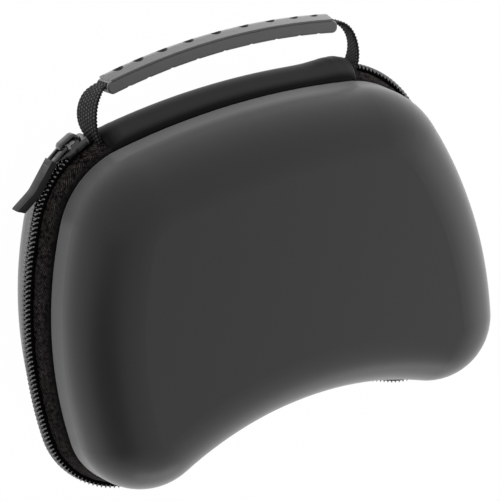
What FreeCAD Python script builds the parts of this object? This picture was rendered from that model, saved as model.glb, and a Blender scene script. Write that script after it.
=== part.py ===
"""Controller carrying case: a moulded clamshell with a coil zip, a soft hinge panel and a handle.

Millimetres. X runs across the case, Y points from the lobes to the handle and Z is up.
The case lies on its back, and the origin is on the floor under the middle of the back face.
"""
import FreeCAD
import Part
import math
import os
from collections import namedtuple

Vector = FreeCAD.Vector

# Outline of the zip ridge: round corners and lobes, joined by large arcs
CORNER_X = 40.5
CORNER_Y = 24.5
CORNER_R = 39.0
LOBE_X = 60.0
LOBE_Y = -36.0
LOBE_R = 29.5
CROWN_R = 288.0
SIDE_R = 156.0
ARCH_R = 120.0

# Moulded shells, measured inwards from the ridge and away from the seam
HALF_DEPTH = 40.5
RIM_HEIGHT = 11.0
RIM_INSET = 4.3
DRAFT_DEG = 5.0
EDGE_R = 22.0
SHELL_WALL = 4.0
RIM_ROUND = 1.2
LOBE_FLAT_R = 1.5

# Zip: tape, coil teeth and the gap between the two halves
SEAM_GAP = 0.35
COIL_PROUD = 1.2
COIL_THICK = 2.5
COIL_WIDTH = 2.9
COIL_CORE = 0.9
TOOTH_PITCH = 1.7
TOOTH_ROOT = 1.4
TOOTH_TIP = 0.7
TAPE_WALL = 0.9
TAPE_STRAIGHT = 3.8
TAPE_TUCK = 0.9
TAPE_BEND_R = 1.0
SEWN_GAP = 0.05
TUCK_CLEAR = 0.35

# Binding that covers the sewn edge inside each half
BINDING_WALL = 1.2
BINDING_HEIGHT = 5.0
BINDING_LAP = 1.1

# Hinge panel and the slots beside it that take the handle's ends
TOP_SHIFT = 2.2
PANEL_HALF = 51.0
PANEL_BULGE = 1.5
PANEL_WALL = 2.0
PANEL_TUCK = 0.5
STRAP_SLOT = 3.2
STRAP_SEAT = 0.35

# Handle: a webbing strap that is folded narrower where it runs through a moulded grip
STRAP_WIDTH = 11.0
STRAP_FOLDED = 8.2
STRAP_THICK = 1.6
STRAP_ROOT_INSET = 0.5
STRAP_STRAIGHT = 4.0
STRAP_NECK = 0.6
STRAP_BEND_R = 5.0
STRAP_FOOT_R = 3.5
GRIP_RISE = 16.4
GRIP_SHIFT = 1.2
GRIP_SHORTER = 7.0
GRIP_HALF = PANEL_HALF - GRIP_SHORTER
GRIP_R = 240.0
GRIP_LIP = 2.2
GRIP_LIP_R = 2.0
GRIP_WIDTH = 10.4
GRIP_FLOOR = 2.5
GRIP_SIDE = 4.5
GRIP_CAP = 0.6
GRIP_CROWN = 1.6
GRIP_CROWN_R = 5.0
GRIP_EDGE_R = 0.8
GRIP_HOLES_A_SIDE = 4
GRIP_HOLE_CLOSING = 0.08
GRIP_HOLE_MARGIN = 5.32
GRIP_HOLE_SPAN = (GRIP_HALF - GRIP_HOLE_MARGIN) / GRIP_HOLES_A_SIDE
GRIP_HOLE_PITCH = GRIP_HOLE_SPAN + GRIP_HOLE_CLOSING * GRIP_HOLES_A_SIDE ** 2
GRIP_HOLE_R = 2.1
NOTCH_R = 1.2
NOTCH_DEPTH = 0.4
CHANNEL_CLEAR = 0.1

# Zip slider: its place on the left corner, its plates, post, raised rim and bridge
SLIDER_FROM_STRAP = 6.3784
SLIDER_LENGTH = 12.6
SLIDER_WIDTH = 8.8
SLIDER_CORNER_R = 1.6
SLIDER_SHOULDER = 1.0
SLIDER_SHOULDER_R = 5.0
SLIDER_TIP_WIDTH = 5.2
SLIDER_PLATE = 1.0
SLIDER_CLEAR = 0.3
FLANGE_WALL = 0.95
FLANGE_DEPTH = 1.2
INNER_PLATE = 1.0
INNER_PLATE_WIDTH = 7.2
POST_WIDTH = 0.4
POST_LENGTH = 3.4
OVAL_HALF = 4.6
OVAL_WIDTH = 8.0
OVAL_R = 3.6
OVAL_LIP = 0.7
OVAL_RISE = 0.8
OVAL_END = 0.6
BRIDGE_WIDTH = 3.6
BRIDGE_WALL = 1.1
BRIDGE_HALF = 3.4
BRIDGE_RISE = 3.1
BRIDGE_BEND_R = 1.2

# Pull: a stamped link that dips from the bridge, and a moulded tab with a flared tip
LINK_WALL = 1.2
LINK_BAR = 1.3
LINK_WIDTH = 6.4
LINK_LENGTH = 9.6
LINK_CORNER_R = 1.2
LINK_INNER_R = 0.3
LINK_CLEAR = 0.3
LINK_DIP_DEG = 8.0
TAB_HEAD_WIDTH = 7.2
TAB_TIP_WIDTH = 5.7
TAB_CORNER_R = 0.8
TAB_THICK = 1.9
TAB_TIP_THICK = 2.9
TAB_START = 7.7
TAB_WAIST = 15.0
TAB_FLARE = 19.0
TAB_END = 25.8
TAB_HEAD_OUT = 4.5
TAB_WAIST_OUT = 3.9
TAB_FLARE_OUT = 4.2
TAB_TIP_OUT = 8.2
TAB_BEND_R = 12.0

# Worked out from the sizes above
SEAM_Z = HALF_DEPTH
DRAFT = math.radians(DRAFT_DEG)
WALL_ACROSS = SHELL_WALL / math.cos(DRAFT)
COIL_BACK = COIL_THICK - COIL_PROUD
SEWN_EDGE = RIM_INSET + WALL_ACROSS
TUCK_END = SEWN_EDGE - TUCK_CLEAR
FRONT, BACK = 1, -1
SHORTEST_EDGE = 1e-3

Arc = namedtuple("Arc", "centre radius start end")


def direction(angle):
    return Vector(math.cos(angle), math.sin(angle), 0)


def heading(vector):
    return math.atan2(vector.y, vector.x)


# Outline as tangent arcs, clockwise from the middle of the crown
def right_half():
    """Arcs from the middle of the crown down the right side to the middle of the arch."""
    corner = Vector(CORNER_X, CORNER_Y, 0)
    lobe = Vector(LOBE_X, LOBE_Y, 0)
    crown = Vector(0, CORNER_Y - math.sqrt((CROWN_R - CORNER_R) ** 2 - CORNER_X ** 2), 0)
    arch = Vector(0, LOBE_Y - math.sqrt((ARCH_R + LOBE_R) ** 2 - LOBE_X ** 2), 0)
    to_lobe = lobe - corner
    span = to_lobe.Length
    to_corner_circle = SIDE_R - CORNER_R
    to_lobe_circle = SIDE_R - LOBE_R
    along = (to_corner_circle ** 2 - to_lobe_circle ** 2 + span ** 2) / (2 * span)
    across = math.sqrt(to_corner_circle ** 2 - along ** 2)
    unit = to_lobe / span
    side = corner + unit * along + Vector(unit.y, -unit.x, 0) * across
    crown_end = heading(corner - crown)
    side_start = heading(corner - side)
    side_end = heading(lobe - side)
    return [
        Arc(crown, CROWN_R, math.pi / 2, crown_end),
        Arc(corner, CORNER_R, crown_end, side_start),
        Arc(side, SIDE_R, side_start, side_end),
        Arc(lobe, LOBE_R, side_end, heading(arch - lobe)),
        Arc(arch, ARCH_R, heading(lobe - arch), math.pi / 2),
    ]


def mirrored(arc):
    centre = Vector(-arc.centre.x, arc.centre.y, 0)
    return Arc(centre, arc.radius, math.pi - arc.end, math.pi - arc.start)


def arc_length(arc):
    return arc.radius * abs(arc.end - arc.start)


def outward(arc):
    """1 where the ridge bulges outwards, -1 on the hollow arch."""
    return 1 if arc.end < arc.start else -1


def arc_point(arc, angle, inset):
    return arc.centre + direction(angle) * (arc.radius - outward(arc) * inset)


RIGHT_HALF = right_half()
RIDGE = RIGHT_HALF + [mirrored(arc) for arc in reversed(RIGHT_HALF)]
PERIMETER = sum(arc_length(arc) for arc in RIDGE)
RIDGE_TOP = RIDGE[0].centre.y + CROWN_R
LEFT_CORNER = mirrored(RIGHT_HALF[1])

PANEL_START = TOP_SHIFT - PANEL_HALF
PANEL_END = TOP_SHIFT + PANEL_HALF
ZIP_START = PANEL_END + STRAP_SLOT
ZIP_END = PERIMETER + PANEL_START - STRAP_SLOT


def stretch(start, end):
    """The arcs between two distances along the ridge, counted clockwise from the crown's middle."""
    found = []
    for lap in (-PERIMETER, 0):
        reached = lap
        for arc in RIDGE:
            length = arc_length(arc)
            low = max(start, reached)
            high = min(end, reached + length)
            if high - low > SHORTEST_EDGE:
                turn = (arc.end - arc.start) / length
                first = arc.start + (low - reached) * turn
                last = arc.start + (high - reached) * turn
                found.append(Arc(arc.centre, arc.radius, first, last))
            reached += length
    return found


def ridge_place(distance):
    """The arc and the polar angle on it at a distance along the ridge."""
    left = distance % PERIMETER
    for arc in RIDGE:
        length = arc_length(arc)
        if left <= length:
            break
        left -= length
    return arc, arc.start + (arc.end - arc.start) * left / length


def ridge_point(distance, inset):
    arc, angle = ridge_place(distance)
    return arc_point(arc, angle, inset)


def ridge_edges(arcs, inset):
    """The ridge's arcs as edges in the plane, offset inwards."""
    edges = []
    for arc in arcs:
        angles = (arc.start, (arc.start + arc.end) / 2, arc.end)
        edges.append(Part.Arc(*[arc_point(arc, angle, inset) for angle in angles]).toShape())
    return edges


# Sections with rounded corners
def rounded_wire(corners, place):
    """Closed wire through corners (u, v, radius), put in space by place(u, v)."""
    entries = []
    count = len(corners)
    for index, (u, v, radius) in enumerate(corners):
        here = Vector(u, v, 0)
        back = Vector(*corners[index - 1][:2], 0) - here
        ahead = Vector(*corners[(index + 1) % count][:2], 0) - here
        back.normalize()
        ahead.normalize()
        if radius <= 0:
            entries.append((here, None, here))
            continue
        half = back.getAngle(ahead) / 2
        reach = radius / math.tan(half)
        middle = (back + ahead).normalize() * (radius / math.sin(half) - radius)
        entries.append((here + back * reach, here + middle, here + ahead * reach))
    edges = []
    for index, (start, middle, end) in enumerate(entries):
        before = entries[index - 1][2]
        if (start - before).Length > SHORTEST_EDGE:
            edges.append(Part.LineSegment(place(before.x, before.y), place(start.x, start.y)).toShape())
        if middle is not None:
            points = [place(point.x, point.y) for point in (start, middle, end)]
            edges.append(Part.Arc(*points).toShape())
    return Part.Wire(edges)


def band(path, width):
    """Corners of a strip of even width along a path of (u, v, bend radius)."""
    left = []
    right = []
    points = [Vector(u, v, 0) for u, v, _ in path]
    last = len(points) - 1
    for index, point in enumerate(points):
        before = points[index] - points[index - 1] if index else points[1] - points[0]
        after = points[index + 1] - points[index] if index < last else before
        before.normalize()
        after.normalize()
        side = Vector(-before.y - after.y, before.x + after.x, 0) / (1 + before.dot(after))
        turn = before.x * after.y - before.y * after.x
        radius = path[index][2]
        shift = math.copysign(width / 2, turn)
        left.append((*(point + side * width / 2)[:2], radius - shift if radius else 0))
        right.append((*(point - side * width / 2)[:2], radius + shift if radius else 0))
    return left + right[::-1]


def rectangle(start, end, half):
    """Square corners of a section from one inset to another, even about the seam."""
    return [(start, -half, 0), (start, half, 0), (end, half, 0), (end, -half, 0)]


def turned(corners, arc, z_sign):
    """Solid from a section of (inset, height above the seam, radius) turned along one arc."""
    def place(inset, height):
        point = arc_point(arc, arc.start, inset)
        return Vector(point.x, point.y, SEAM_Z + z_sign * height)

    face = Part.Face(rounded_wire(corners, place))
    return face.revolve(arc.centre, Vector(0, 0, 1), math.degrees(arc.end - arc.start))


def joined(solids):
    whole = solids[0].multiFuse(solids[1:]) if len(solids) > 1 else solids[0]
    return whole.removeSplitter()


def ring(corners, arcs, z_sign):
    """One section carried along a run of arcs."""
    return joined([turned(corners, arc, z_sign) for arc in arcs])


def on_seam(height):
    """Place for plan outlines at a height above the seam."""
    return lambda x, y: Vector(x, y, SEAM_Z + height)


def slab(corners, thickness):
    """Plan outline extruded evenly to both sides of the seam."""
    face = Part.Face(rounded_wire(corners, on_seam(-thickness / 2)))
    return face.extrude(Vector(0, 0, thickness))


def shell(z_sign):
    """Moulded half: drafted wall, large rounded edge and flat face, open at the seam."""
    half_turn = math.tan((math.pi / 2 - DRAFT) / 2)
    wall_rise = (HALF_DEPTH - RIM_HEIGHT) * math.tan(DRAFT)
    corner = RIM_INSET + wall_rise
    edge_r = min(EDGE_R, (LOBE_R - LOBE_FLAT_R - corner) / half_turn)
    face_edge = corner + edge_r * half_turn
    inner_corner = SEWN_EDGE + (HALF_DEPTH - SHELL_WALL - RIM_HEIGHT) * math.tan(DRAFT)
    section = [
        (RIM_INSET, RIM_HEIGHT, RIM_ROUND),
        (corner, HALF_DEPTH, edge_r),
        (face_edge, HALF_DEPTH, 0),
        (face_edge, HALF_DEPTH - SHELL_WALL, 0),
        (inner_corner, HALF_DEPTH - SHELL_WALL, edge_r - SHELL_WALL),
        (SEWN_EDGE, RIM_HEIGHT, RIM_ROUND),
    ]
    walls = [turned(section, arc, z_sign) for arc in RIDGE]
    outline = Part.Face(Part.Wire(ridge_edges(RIDGE, face_edge)))
    outline.translate(Vector(0, 0, SEAM_Z + z_sign * HALF_DEPTH))
    plate = outline.extrude(Vector(0, 0, -z_sign * SHELL_WALL))
    return joined(walls + [plate])


def zip_tape(z_sign):
    """Woven tape: upright behind the coil, sloping in to the rim and tucked under it."""
    behind = COIL_BACK + SEWN_GAP + TAPE_WALL / 2
    under_rim = RIM_HEIGHT - TAPE_WALL / 2
    path = [
        (behind, SEAM_GAP, 0),
        (behind, TAPE_STRAIGHT, TAPE_BEND_R),
        (RIM_INSET + TAPE_TUCK, under_rim, TAPE_BEND_R),
        (TUCK_END, under_rim, 0),
    ]
    return ring(band(path, TAPE_WALL), stretch(ZIP_START, ZIP_END), z_sign)


def zip_coil(z_sign):
    """One row of coil teeth on its core, in step with the other row by half a pitch."""
    length = ZIP_END - ZIP_START
    count = int(length / TOOTH_PITCH)
    pitch = length / count
    phase = pitch / 4 if z_sign == FRONT else pitch * 3 / 4
    root = COIL_BACK - COIL_CORE
    tooth = [
        (-TOOTH_ROOT / 2, root),
        (-TOOTH_TIP / 2, -COIL_PROUD),
        (TOOTH_TIP / 2, -COIL_PROUD),
        (TOOTH_ROOT / 2, root),
    ]
    outer = [ridge_point(ZIP_START, COIL_BACK), ridge_point(ZIP_START, root)]
    for number in range(count):
        middle = ZIP_START + phase + number * pitch
        for along, inset in tooth:
            if ZIP_START < middle + along < ZIP_END:
                outer.append(ridge_point(middle + along, inset))
    outer += [ridge_point(ZIP_END, root), ridge_point(ZIP_END, COIL_BACK)]
    inner = ridge_edges(stretch(ZIP_START, ZIP_END), COIL_BACK)
    edges = [Part.LineSegment(a, b).toShape() for a, b in zip(outer, outer[1:])]
    face = Part.Face(Part.Wire(Part.__sortEdges__(edges + inner)))
    face.translate(Vector(0, 0, SEAM_Z + z_sign * SEAM_GAP))
    return face.extrude(Vector(0, 0, z_sign * COIL_WIDTH))


def binding(z_sign):
    """Folded strip over the sewn edge, along the inside of the wall."""
    lean = math.tan(DRAFT)
    offset = SEWN_EDGE + SEWN_GAP + BINDING_WALL / 2 / math.cos(DRAFT)
    path = [
        (offset - BINDING_LAP * lean, RIM_HEIGHT - BINDING_LAP, 0),
        (offset + BINDING_HEIGHT * lean, RIM_HEIGHT + BINDING_HEIGHT, 0),
    ]
    return ring(band(path, BINDING_WALL), RIDGE, z_sign)


def hinge_panel():
    """Soft roll along the crown that joins the two rims, with its edges tucked under them."""
    arcs = stretch(PANEL_START, PANEL_END)
    edge = RIM_INSET + PANEL_TUCK
    under = RIM_HEIGHT - TAPE_WALL

    def roll(arc):
        def place(inset, height):
            point = arc_point(arc, arc.start, inset)
            return Vector(point.x, point.y, SEAM_Z + height)

        def line(*ends):
            return Part.LineSegment(*[place(*end) for end in ends]).toShape()

        outer = Part.Arc(place(edge, RIM_HEIGHT), place(-PANEL_BULGE, 0), place(edge, -RIM_HEIGHT))
        inner_edge = edge + PANEL_WALL
        hollow = place(PANEL_WALL - PANEL_BULGE, 0)
        inner = Part.Arc(place(inner_edge, -under), hollow, place(inner_edge, under))
        wire = Part.Wire([
            outer.toShape(),
            line((edge, -RIM_HEIGHT), (TUCK_END, -RIM_HEIGHT)),
            line((TUCK_END, -RIM_HEIGHT), (TUCK_END, -under)),
            line((TUCK_END, -under), (inner_edge, -under)),
            inner.toShape(),
            line((inner_edge, under), (TUCK_END, under)),
            line((TUCK_END, under), (TUCK_END, RIM_HEIGHT)),
            line((TUCK_END, RIM_HEIGHT), (edge, RIM_HEIGHT)),
        ])
        return Part.Face(wire).revolve(arc.centre, Vector(0, 0, 1), math.degrees(arc.end - arc.start))

    return joined([roll(arc) for arc in arcs])


# Handle: the grip's arc gives the strap its run between the two shoulders
GRIP_CENTRE = Vector(TOP_SHIFT, RIDGE_TOP + GRIP_RISE - GRIP_R, 0)
GRIP_TURN = math.asin(GRIP_HALF / GRIP_R)


def grip_edge(offset, beyond, round_off):
    """Corners along the grip's arc, offset outwards from the strap and straight beyond both ends."""
    radius = GRIP_R + offset
    peak = GRIP_CENTRE + Vector(0, radius / math.cos(GRIP_TURN), 0)
    ends = []
    for mirror in (-1, 1):
        spoke = direction(math.pi / 2 - mirror * GRIP_TURN)
        ends.append(GRIP_CENTRE + spoke * radius + Vector(spoke.y, -spoke.x, 0) * mirror * beyond)
    return [(ends[0].x, ends[0].y, round_off), (peak.x, peak.y, radius), (ends[1].x, ends[1].y, round_off)]


def strap_foot(mirror):
    """Path from one root in its slot, straight out of the case and up to the handle's shoulder."""
    distance = TOP_SHIFT + mirror * (PANEL_HALF + STRAP_SEAT + STRAP_THICK / 2)
    root = ridge_point(distance, STRAP_ROOT_INSET)
    rise = ridge_point(distance, -STRAP_STRAIGHT)
    return [(root.x, root.y, 0), (rise.x, rise.y, STRAP_FOOT_R)]


def handle_webbing():
    """One strap: flat from each root to the grip's mouth and folded inside the grip."""
    mouth = GRIP_LIP + GRIP_SHIFT + STRAP_NECK / 2
    left_end, peak, right_end = grip_edge(0, mouth, 0)
    shoulders = grip_edge(0, mouth + STRAP_NECK / 2 + STRAP_BEND_R, STRAP_BEND_R)
    left = strap_foot(-1) + [shoulders[0]]
    right = strap_foot(1) + [shoulders[2]]
    run = slab(band([left_end, peak, right_end], STRAP_THICK), STRAP_FOLDED)
    feet = [slab(band(left + [left_end], STRAP_THICK), STRAP_WIDTH)]
    feet.append(slab(band(right + [right_end], STRAP_THICK), STRAP_WIDTH))
    return joined([run] + feet)


def grip_holes():
    """Distances of the holes from the grip's middle, closing up towards its ends."""
    numbers = range(-GRIP_HOLES_A_SIDE, GRIP_HOLES_A_SIDE + 1)
    return [number * (GRIP_HOLE_PITCH - GRIP_HOLE_CLOSING * number ** 2) for number in numbers]


def handle_grip():
    """Moulded sleeve with rounded edges and lips, under a ridged cap with a row of holes."""
    arc = Arc(GRIP_CENTRE, GRIP_R, math.pi / 2 + GRIP_TURN, math.pi / 2 - GRIP_TURN)
    channel_high = STRAP_THICK / 2 + CHANNEL_CLEAR
    floor = -channel_high - GRIP_FLOOR
    shoulder = floor + GRIP_SIDE
    eaves = shoulder + GRIP_CAP
    crest = eaves + GRIP_CROWN
    half = GRIP_WIDTH / 2
    outline = grip_edge(shoulder, GRIP_LIP, GRIP_LIP_R) + grip_edge(floor, GRIP_LIP, GRIP_LIP_R)[::-1]
    sleeve = slab(outline, GRIP_WIDTH)
    side_edges = [edge for edge in sleeve.Edges if edge.BoundBox.ZLength < SHORTEST_EDGE]
    sleeve = sleeve.makeFillet(GRIP_EDGE_R, side_edges)
    cap = turned([
        (-shoulder, -half, 0),
        (-eaves, -half, 0),
        (-crest, 0, GRIP_CROWN_R),
        (-eaves, half, 0),
        (-shoulder, half, 0),
    ], arc, FRONT)
    channel = grip_edge(channel_high, 2 * GRIP_LIP, 0) + grip_edge(-channel_high, 2 * GRIP_LIP, 0)[::-1]
    cuts = [slab(channel, STRAP_FOLDED + 2 * CHANNEL_CLEAR)]
    for distance in grip_holes():
        out = direction(math.pi / 2 - distance / GRIP_R)
        start = GRIP_CENTRE + out * GRIP_R + Vector(0, 0, SEAM_Z)
        cuts.append(Part.makeCylinder(GRIP_HOLE_R, crest, start, out))
        below = GRIP_CENTRE + out * (GRIP_R + floor + NOTCH_DEPTH - NOTCH_R)
        below.z = SEAM_Z - GRIP_WIDTH
        cuts.append(Part.makeCylinder(NOTCH_R, 2 * GRIP_WIDTH, below, Vector(0, 0, 1)))
    grip = sleeve.fuse(cap).cut(cuts).removeSplitter()
    grip.rotate(GRIP_CENTRE, Vector(0, 0, 1), -math.degrees(GRIP_SHIFT / GRIP_R))
    return grip


# Slider frame on the left corner: "along" runs down the zip, "out" points away from the case
SLIDER_REACH = SLIDER_FROM_STRAP + STRAP_SLOT - PANEL_START - arc_length(RIGHT_HALF[0])
SLIDER_DEG = math.degrees(LEFT_CORNER.end + SLIDER_REACH / CORNER_R)
SLIDER_ANGLE = math.radians(SLIDER_DEG)
SLIDER_OUT = direction(SLIDER_ANGLE)
SLIDER_ALONG = Vector(-SLIDER_OUT.y, SLIDER_OUT.x, 0)
SLIDER_ORIGIN = LEFT_CORNER.centre + SLIDER_OUT * CORNER_R
PLATE_TOP = COIL_PROUD + SLIDER_CLEAR + SLIDER_PLATE


def slider_point(along, out):
    return SLIDER_ORIGIN + SLIDER_ALONG * along + SLIDER_OUT * out


def slider_stretch(first, last):
    """The part of the corner arc between two distances down the zip from the slider's middle."""
    lower = SLIDER_ANGLE + last / CORNER_R
    upper = SLIDER_ANGLE + first / CORNER_R
    return Arc(LEFT_CORNER.centre, CORNER_R, lower, upper)


def upright(corners, low, high):
    """Outline in distances down the zip and heights above the seam, extruded outwards."""
    def place(along, height):
        return slider_point(along, low) + Vector(0, 0, SEAM_Z + height)

    return Part.Face(rounded_wire(corners, place)).extrude(SLIDER_OUT * (high - low))


def both_sides(corners):
    """Corners (along, half width, radius) and their mirror images across the seam."""
    return corners + [(along, -half, radius) for along, half, radius in reversed(corners)]


def zip_slider():
    """Shield-shaped outer plate with flanges, inner plate, post, raised rim and bridge."""
    inside = COIL_PROUD + SLIDER_CLEAR
    half = SLIDER_WIDTH / 2
    flange = half - FLANGE_WALL
    tip = FLANGE_DEPTH - COIL_PROUD
    round_off = SLIDER_PLATE / 2
    cover = [
        (-PLATE_TOP, -half, round_off),
        (-PLATE_TOP, half, round_off),
        (tip, half, 0),
        (tip, flange, 0),
        (-inside, flange, 0),
        (-inside, -flange, 0),
        (tip, -flange, 0),
        (tip, -half, 0),
    ]
    under = COIL_BACK + SEWN_GAP + TAPE_WALL + SLIDER_CLEAR
    lining = rectangle(under, under + INNER_PLATE, INNER_PLATE_WIDTH / 2)
    post = rectangle(-inside, under, POST_WIDTH / 2)
    end = SLIDER_LENGTH / 2
    whole = slider_stretch(-end, end)
    nose = slider_stretch(-end, POST_LENGTH - end)
    shield = both_sides([
        (-end, half, SLIDER_CORNER_R),
        (SLIDER_SHOULDER, half, SLIDER_SHOULDER_R),
        (end, SLIDER_TIP_WIDTH / 2, SLIDER_CORNER_R),
    ])
    plate = turned(cover, whole, FRONT).common(upright(shield, -under, PLATE_TOP))

    def oval(margin):
        across = OVAL_WIDTH / 2 - margin
        reach = OVAL_HALF - margin
        radius = OVAL_R - margin
        corners = both_sides([(-reach, across, radius), (reach, across, radius)])
        return upright(corners, foot, PLATE_TOP + OVAL_RISE)

    foot = PLATE_TOP - SLIDER_PLATE / 2
    lower_end = both_sides([(OVAL_END, half, 0), (SLIDER_LENGTH, half, 0)])
    rim = oval(0).cut([oval(OVAL_LIP), upright(lower_end, 0, PLATE_TOP + 2 * OVAL_RISE)])
    top = PLATE_TOP + BRIDGE_RISE - BRIDGE_WALL / 2
    path = []
    for along, out, radius in (
        (-BRIDGE_HALF, foot, 0),
        (-BRIDGE_HALF, top, BRIDGE_BEND_R),
        (BRIDGE_HALF, top, BRIDGE_BEND_R),
        (BRIDGE_HALF, foot, 0),
    ):
        point = slider_point(along, out)
        path.append((point.x, point.y, radius))
    bridge = slab(band(path, BRIDGE_WALL), BRIDGE_WIDTH)
    return joined([plate, turned(lining, whole, FRONT), turned(post, nose, FRONT), rim, bridge])


# Pull: hangs from the bridge on the axis of the link's first bar
PIVOT_OUT = PLATE_TOP + (BRIDGE_RISE - BRIDGE_WALL) / 2
PIVOT_ALONG = BRIDGE_HALF - BRIDGE_WALL / 2 - LINK_CLEAR - LINK_BAR / 2
LINK_DIP = math.radians(LINK_DIP_DEG)


def pull_link():
    """Flat stamped loop that dips from the bridge to the head of the tab."""
    ahead = SLIDER_ALONG * math.cos(LINK_DIP) - SLIDER_OUT * math.sin(LINK_DIP)
    out = SLIDER_OUT * math.cos(LINK_DIP) + SLIDER_ALONG * math.sin(LINK_DIP)
    pivot = slider_point(PIVOT_ALONG, PIVOT_OUT)

    def plate(margin, radius):
        start = -LINK_BAR / 2 + margin
        end = LINK_LENGTH - LINK_BAR / 2 - margin
        half = LINK_WIDTH / 2 - margin

        def place(along, height):
            return pivot + ahead * along - out * (LINK_WALL / 2) + Vector(0, 0, SEAM_Z + height)

        corners = both_sides([(start, half, radius), (end, half, radius)])
        return Part.Face(rounded_wire(corners, place)).extrude(out * LINK_WALL)

    return plate(0, LINK_CORNER_R).cut(plate(LINK_BAR, LINK_INNER_R))


def pull_tab():
    """Moulded tab: its head is cast round the link's far bar, its body follows the zip and flares out."""
    def follow(along, out):
        return LEFT_CORNER.centre + direction(SLIDER_ANGLE + along / CORNER_R) * (CORNER_R + out)

    outer = []
    inner = []
    for along, out, radius in (
        (TAB_START, TAB_HEAD_OUT, 0),
        (TAB_WAIST, TAB_WAIST_OUT, TAB_BEND_R),
        (TAB_FLARE, TAB_FLARE_OUT, TAB_BEND_R),
        (TAB_END, TAB_TIP_OUT, 0),
    ):
        share = (along - TAB_START) / (TAB_END - TAB_START)
        thick = TAB_THICK + (TAB_TIP_THICK - TAB_THICK) * share
        outer.append((*follow(along, out)[:2], radius))
        inner.append((*follow(along, out - thick)[:2], radius))
    body = slab(outer + inner[::-1], TAB_HEAD_WIDTH)
    tip = follow(TAB_END, TAB_TIP_OUT) - SLIDER_ORIGIN
    reach = tip.dot(SLIDER_ALONG)
    taper = both_sides([(0, TAB_HEAD_WIDTH / 2, 0), (reach, TAB_TIP_WIDTH / 2, TAB_CORNER_R)])
    return body.common(upright(taper, -reach, reach)).cut(pull_link())


PIECES = {
    "front_shell": lambda: shell(FRONT),
    "back_shell": lambda: shell(BACK),
    "front_zip_tape": lambda: zip_tape(FRONT),
    "back_zip_tape": lambda: zip_tape(BACK),
    "front_zip_coil": lambda: zip_coil(FRONT),
    "back_zip_coil": lambda: zip_coil(BACK),
    "front_binding": lambda: binding(FRONT),
    "back_binding": lambda: binding(BACK),
    "hinge_panel": hinge_panel,
    "handle_webbing": handle_webbing,
    "handle_grip": handle_grip,
    "zip_slider": zip_slider,
    "pull_link": pull_link,
    "pull_tab": pull_tab,
}

os.makedirs("parts", exist_ok=True)
for name, make in PIECES.items():
    piece = make()
    piece.exportStep(f"parts/{name}.step")
    print(f"{name}: {len(piece.Solids)} solid, {piece.Volume / 1000:.2f} cm3, valid {piece.isValid()}")
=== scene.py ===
"""Looks of a controller carrying case: moulded shells, coil zip, hinge panel and handle, in metres."""
import functools
import math
import bmesh
import bpy
from mathutils import Matrix, Vector
from mathutils.geometry import interpolate_bezier


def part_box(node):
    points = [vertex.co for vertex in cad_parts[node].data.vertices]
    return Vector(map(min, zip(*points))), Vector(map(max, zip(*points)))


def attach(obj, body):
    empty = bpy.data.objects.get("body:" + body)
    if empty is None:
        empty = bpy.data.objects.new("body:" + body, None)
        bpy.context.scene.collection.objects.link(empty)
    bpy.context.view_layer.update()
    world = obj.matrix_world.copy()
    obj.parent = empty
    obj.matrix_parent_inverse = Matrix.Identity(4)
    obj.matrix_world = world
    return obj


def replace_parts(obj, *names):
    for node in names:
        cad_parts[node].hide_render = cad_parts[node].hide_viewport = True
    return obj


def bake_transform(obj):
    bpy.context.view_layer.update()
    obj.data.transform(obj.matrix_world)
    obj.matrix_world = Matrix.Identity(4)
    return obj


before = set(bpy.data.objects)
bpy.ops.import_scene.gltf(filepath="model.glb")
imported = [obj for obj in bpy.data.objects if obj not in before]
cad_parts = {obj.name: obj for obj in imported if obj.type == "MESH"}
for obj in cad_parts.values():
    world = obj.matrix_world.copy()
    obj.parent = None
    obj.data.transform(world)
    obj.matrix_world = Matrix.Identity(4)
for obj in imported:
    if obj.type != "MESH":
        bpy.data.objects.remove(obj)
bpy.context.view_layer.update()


# Shells. Each half is foam pressed in a hot mould together with a coated skin, so wall, rounded edge and
# face are one piece. The skin has a soft-touch coat: dark and matte in front, paler where it turns away.
SKIN_COLOUR = (0.0095, 0.0095, 0.0092)
SKIN_GLOSS = 0.24
SKIN_ROUGHNESS = 0.35
SKIN_UNEVEN = 0.03
SKIN_SHEEN = 0.33
SKIN_SHEEN_ROUGHNESS = 0.5
SKIN_GRAIN = 0.0004
SKIN_GRAIN_DEPTH = 0.000008
SKIN_CLOUD = 0.03


def new_finish(name, colour, roughness, gloss=0.5):
    """A material of one colour, roughness and strength of gloss, and its surface shader."""
    material = bpy.data.materials.new(name)
    material.use_nodes = True
    surface = material.node_tree.nodes["Principled BSDF"]
    surface.inputs["Base Color"].default_value = (*colour, 1)
    surface.inputs["Roughness"].default_value = roughness
    surface.inputs["Specular IOR Level"].default_value = gloss
    return material, surface


def add_node(owner, kind, inputs=None, **settings):
    """A node with its settings made and its inputs set to values or linked to other sockets."""
    tree = owner.node_tree
    made = tree.nodes.new(kind)
    for name, value in settings.items():
        setattr(made, name, value)
    for name, value in (inputs or {}).items():
        if isinstance(value, bpy.types.NodeSocket):
            tree.links.new(value, made.inputs[name])
        else:
            made.inputs[name].default_value = value
    return made


def object_noise(material, size, detail=2.0):
    """Noise with features of about the given size in metres, fixed to the piece."""
    place = add_node(material, "ShaderNodeTexCoord").outputs["Object"]
    settings = {"Vector": place, "Scale": 1 / size, "Detail": detail}
    return add_node(material, "ShaderNodeTexNoise", settings).outputs["Fac"]


def spread(material, value, low, high, start=0.0, end=1.0):
    """A value stretched from one range to another."""
    inputs = {"Value": value, "From Min": start, "From Max": end, "To Min": low, "To Max": high}
    return add_node(material, "ShaderNodeMapRange", inputs).outputs["Result"]


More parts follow.
